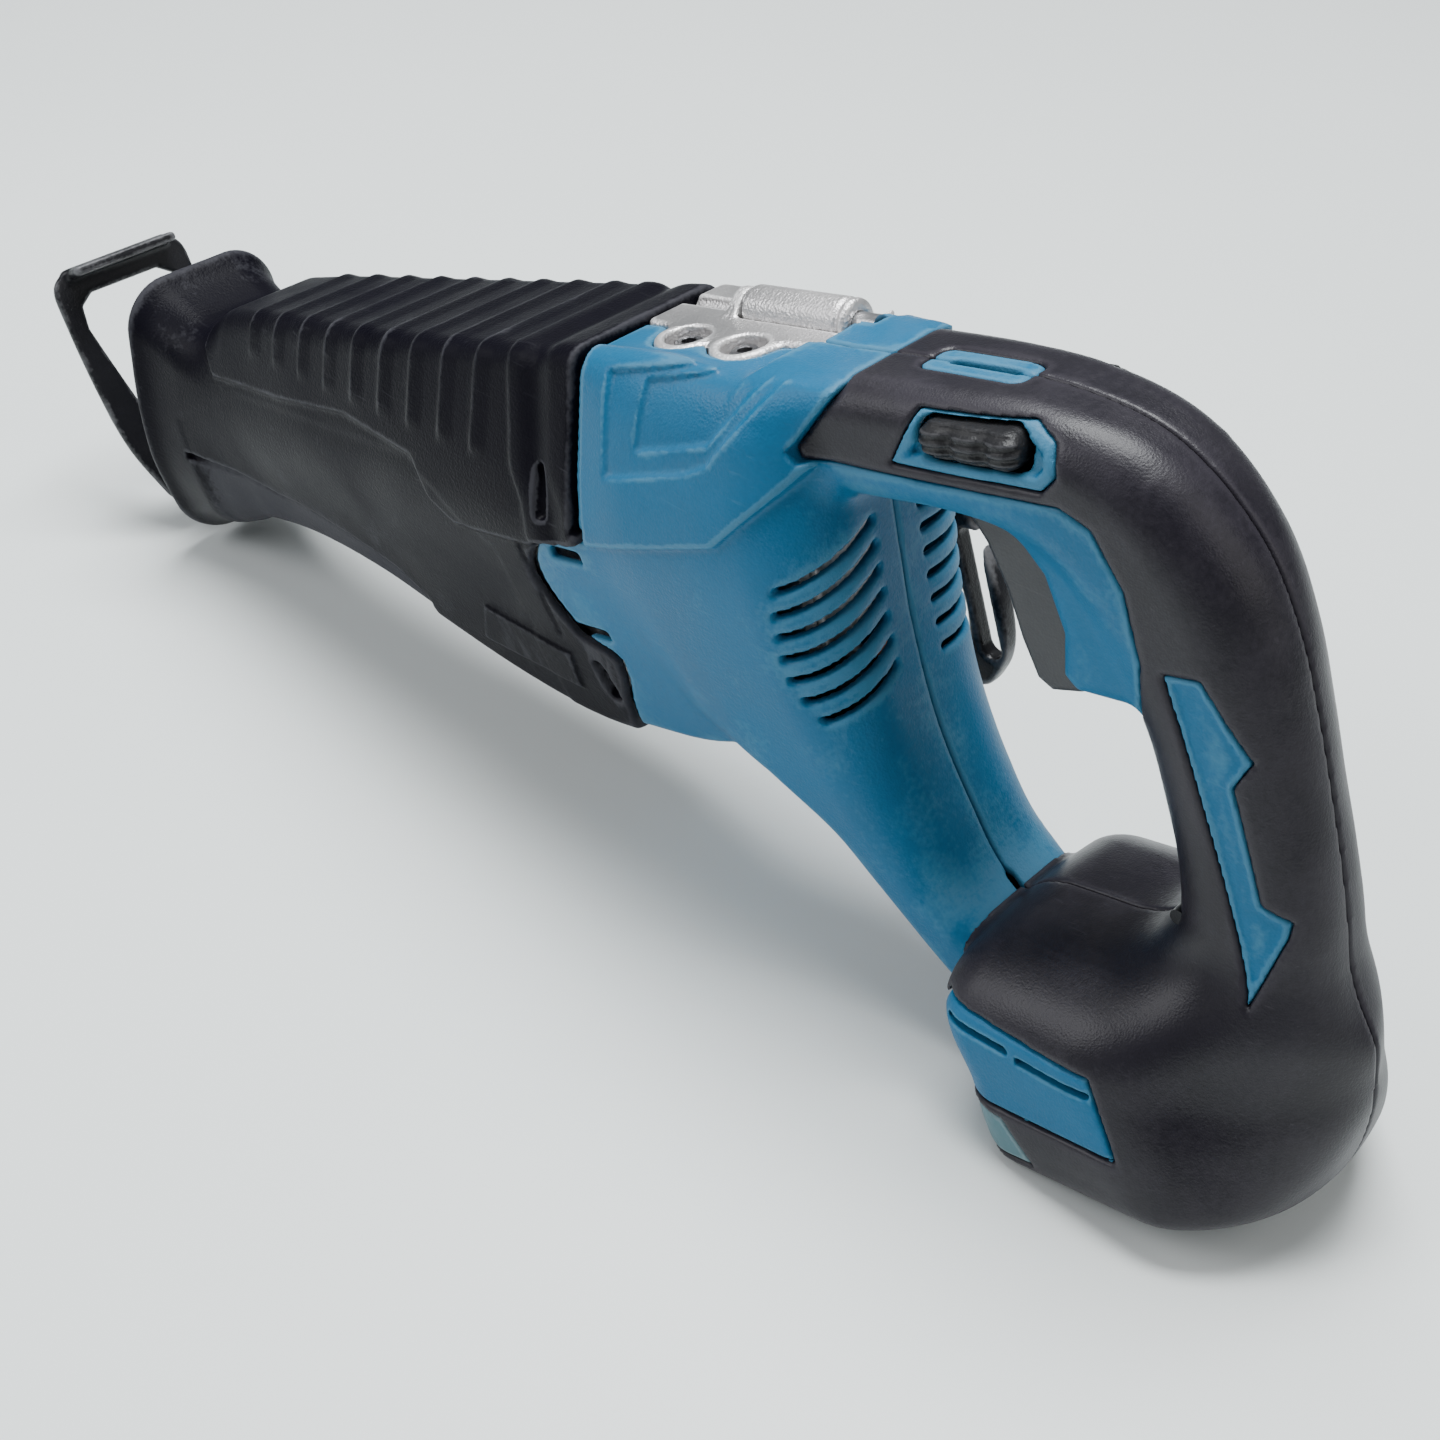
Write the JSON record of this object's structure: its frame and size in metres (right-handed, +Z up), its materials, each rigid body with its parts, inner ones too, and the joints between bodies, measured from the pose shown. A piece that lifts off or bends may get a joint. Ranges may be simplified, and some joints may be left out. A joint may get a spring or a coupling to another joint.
{
  "type": "reciprocating saw",
  "caption": "Battery reciprocating saw with D-handle, rubber nose boot, tilting shoe, folding hook, crank-driven rod and quick blade clamp; shown without battery.",
  "frame": {"origin": "on the surface it rests on, below the middle of the saw's length and width", "axes": "+X towards the blade, +Y to the saw's left, +Z up; the saw rests nose-down on the flange and the base's front corner"},
  "size_m": [0.4964, 0.091, 0.1944],
  "materials": {
    "badge_plastic": "printed plate, no text",
    "black_plastic": "moulded",
    "black_steel": "black finish",
    "boot_rubber": "moulded rubber",
    "bronze": "sintered",
    "cast_aluminium": "blasted casting",
    "contact_brass": "plated",
    "copper": "enamelled wire",
    "felt": "felt",
    "grey_plastic": "moulded",
    "hardened_steel": "ground",
    "lamination": "stacked plate",
    "potting": "potting resin",
    "soft_black": "soft moulded grip",
    "steel": "machined",
    "teal_plastic": "moulded nylon, worn"
  },
  "bodies": {
    "housing": {"base_badge_left": "badge_plastic", "base_badge_right": "badge_plastic", "base_vent_panel_left": "teal_plastic", "base_vent_panel_right": "teal_plastic", "bracket_screws": "black_steel", "casing_left": "teal_plastic", "casing_right": "teal_plastic", "casing_screws": "black_steel", "controller_board": "potting", "controller_tray": "cast_aluminium", "cover_screws": "black_steel", "crank_bearing": "steel", "gear_case": "cast_aluminium", "gear_case_cover": "cast_aluminium", "hook_bracket": "cast_aluminium", "hook_pin": "steel", "motor_front_bearing": "steel", "motor_rear_bearing": "steel", "nose_boot": "boot_rubber", "rod_dust_seal": "felt", "rod_front_bush": "bronze", "rod_rear_bush": "bronze", "soft_grip_left": "soft_black", "soft_grip_right": "soft_black", "stator_coils": "copper", "stator_core": "lamination", "switch": "black_plastic", "terminal_block": "black_plastic", "terminal_contacts": "contact_brass", "trigger_pin": "steel"},
    "rod": {"drive_rod": "hardened_steel", "clamp_pin": "steel", "clamp_spring": "steel", "clamp_ring": "steel"},
    "clamp_sleeve": {"blade_clamp_sleeve": "hardened_steel"},
    "crank": {"crank_gear": "hardened_steel", "crank_shaft": "hardened_steel", "crank_pin": "hardened_steel", "crank_roller": "hardened_steel"},
    "rotor": {"drive_pinion": "hardened_steel", "rotor_shaft": "hardened_steel", "rotor_core": "lamination", "cooling_fan": "black_plastic"},
    "hook": {"hook": "cast_aluminium"},
    "shoe_bar": {"shoe_bar": "black_steel"},
    "shoe": {"shoe": "black_steel", "shoe_pivot_pin": "steel"},
    "shoe_lock": {"shoe_lock_button": "black_plastic"},
    "trigger": {"trigger": "grey_plastic"},
    "lock_off": {"lock_off_button": "black_plastic"}
  },
  "joints": [
    {"name": "crank_turn", "type": "hinge", "parent": "housing", "child": "crank", "pos_m": [-0.04953, 0.00196, 0.11158], "axis": [0, 1, 0], "range_deg": [0, 180]},
    {"name": "rod_stroke", "type": "slide", "parent": "housing", "child": "rod", "axis": [0.972, 0, -0.2348], "range_m": [0, 0.032]},
    {"name": "rotor_turn", "type": "hinge", "parent": "housing", "child": "rotor", "pos_m": [-0.08585, -0.00304, 0.07722], "axis": [-0.7264, 0, -0.6873], "range_deg": [0, 753.7]},
    {"name": "blade_clamp_turn", "type": "hinge", "parent": "rod", "child": "clamp_sleeve", "pos_m": [0.1614, 0.00196, 0.06062], "axis": [0.972, 0, -0.2348], "range_deg": [0, 45], "stiffness_Nm_per_rad": 0.2, "springref_deg": -17.19},
    {"name": "hook_swing", "type": "hinge", "parent": "housing", "child": "hook", "pos_m": [-0.05299, -0.01304, 0.1654], "axis": [-0.972, 0, 0.2348], "range_deg": [0, 100]},
    {"name": "shoe_extend", "type": "slide", "parent": "housing", "child": "shoe_bar", "axis": [0.972, 0, -0.2348], "range_m": [0, 0.03]},
    {"name": "shoe_tilt", "type": "hinge", "parent": "shoe_bar", "child": "shoe", "pos_m": [0.20352, 0.00196, 0.02627], "axis": [0, 1, 0], "range_deg": [-12, 16]},
    {"name": "shoe_lock_press", "type": "slide", "parent": "housing", "child": "shoe_lock", "axis": [0.2348, 0, 0.972], "range_m": [0, 0.0012], "stiffness_N_per_m": 600, "springref_m": -0.002},
    {"name": "trigger_squeeze", "type": "hinge", "parent": "housing", "child": "trigger", "pos_m": [-0.12755, 0.00196, 0.16335], "axis": [0, 1, 0], "range_deg": [0, 8], "stiffness_Nm_per_rad": 0.8, "springref_deg": -8.59},
    {"name": "lock_off_press", "type": "slide", "parent": "housing", "child": "lock_off", "axis": [0, -1, 0], "range_m": [0, 0.004], "stiffness_N_per_m": 300, "springref_m": -0.002}
  ],
  "couplings": [
    {"joint": "rod_stroke", "follows": "crank_turn", "m_per_rad": 0.010186},
    {"joint": "rotor_turn", "follows": "crank_turn", "ratio": 4.1818}
  ]
}
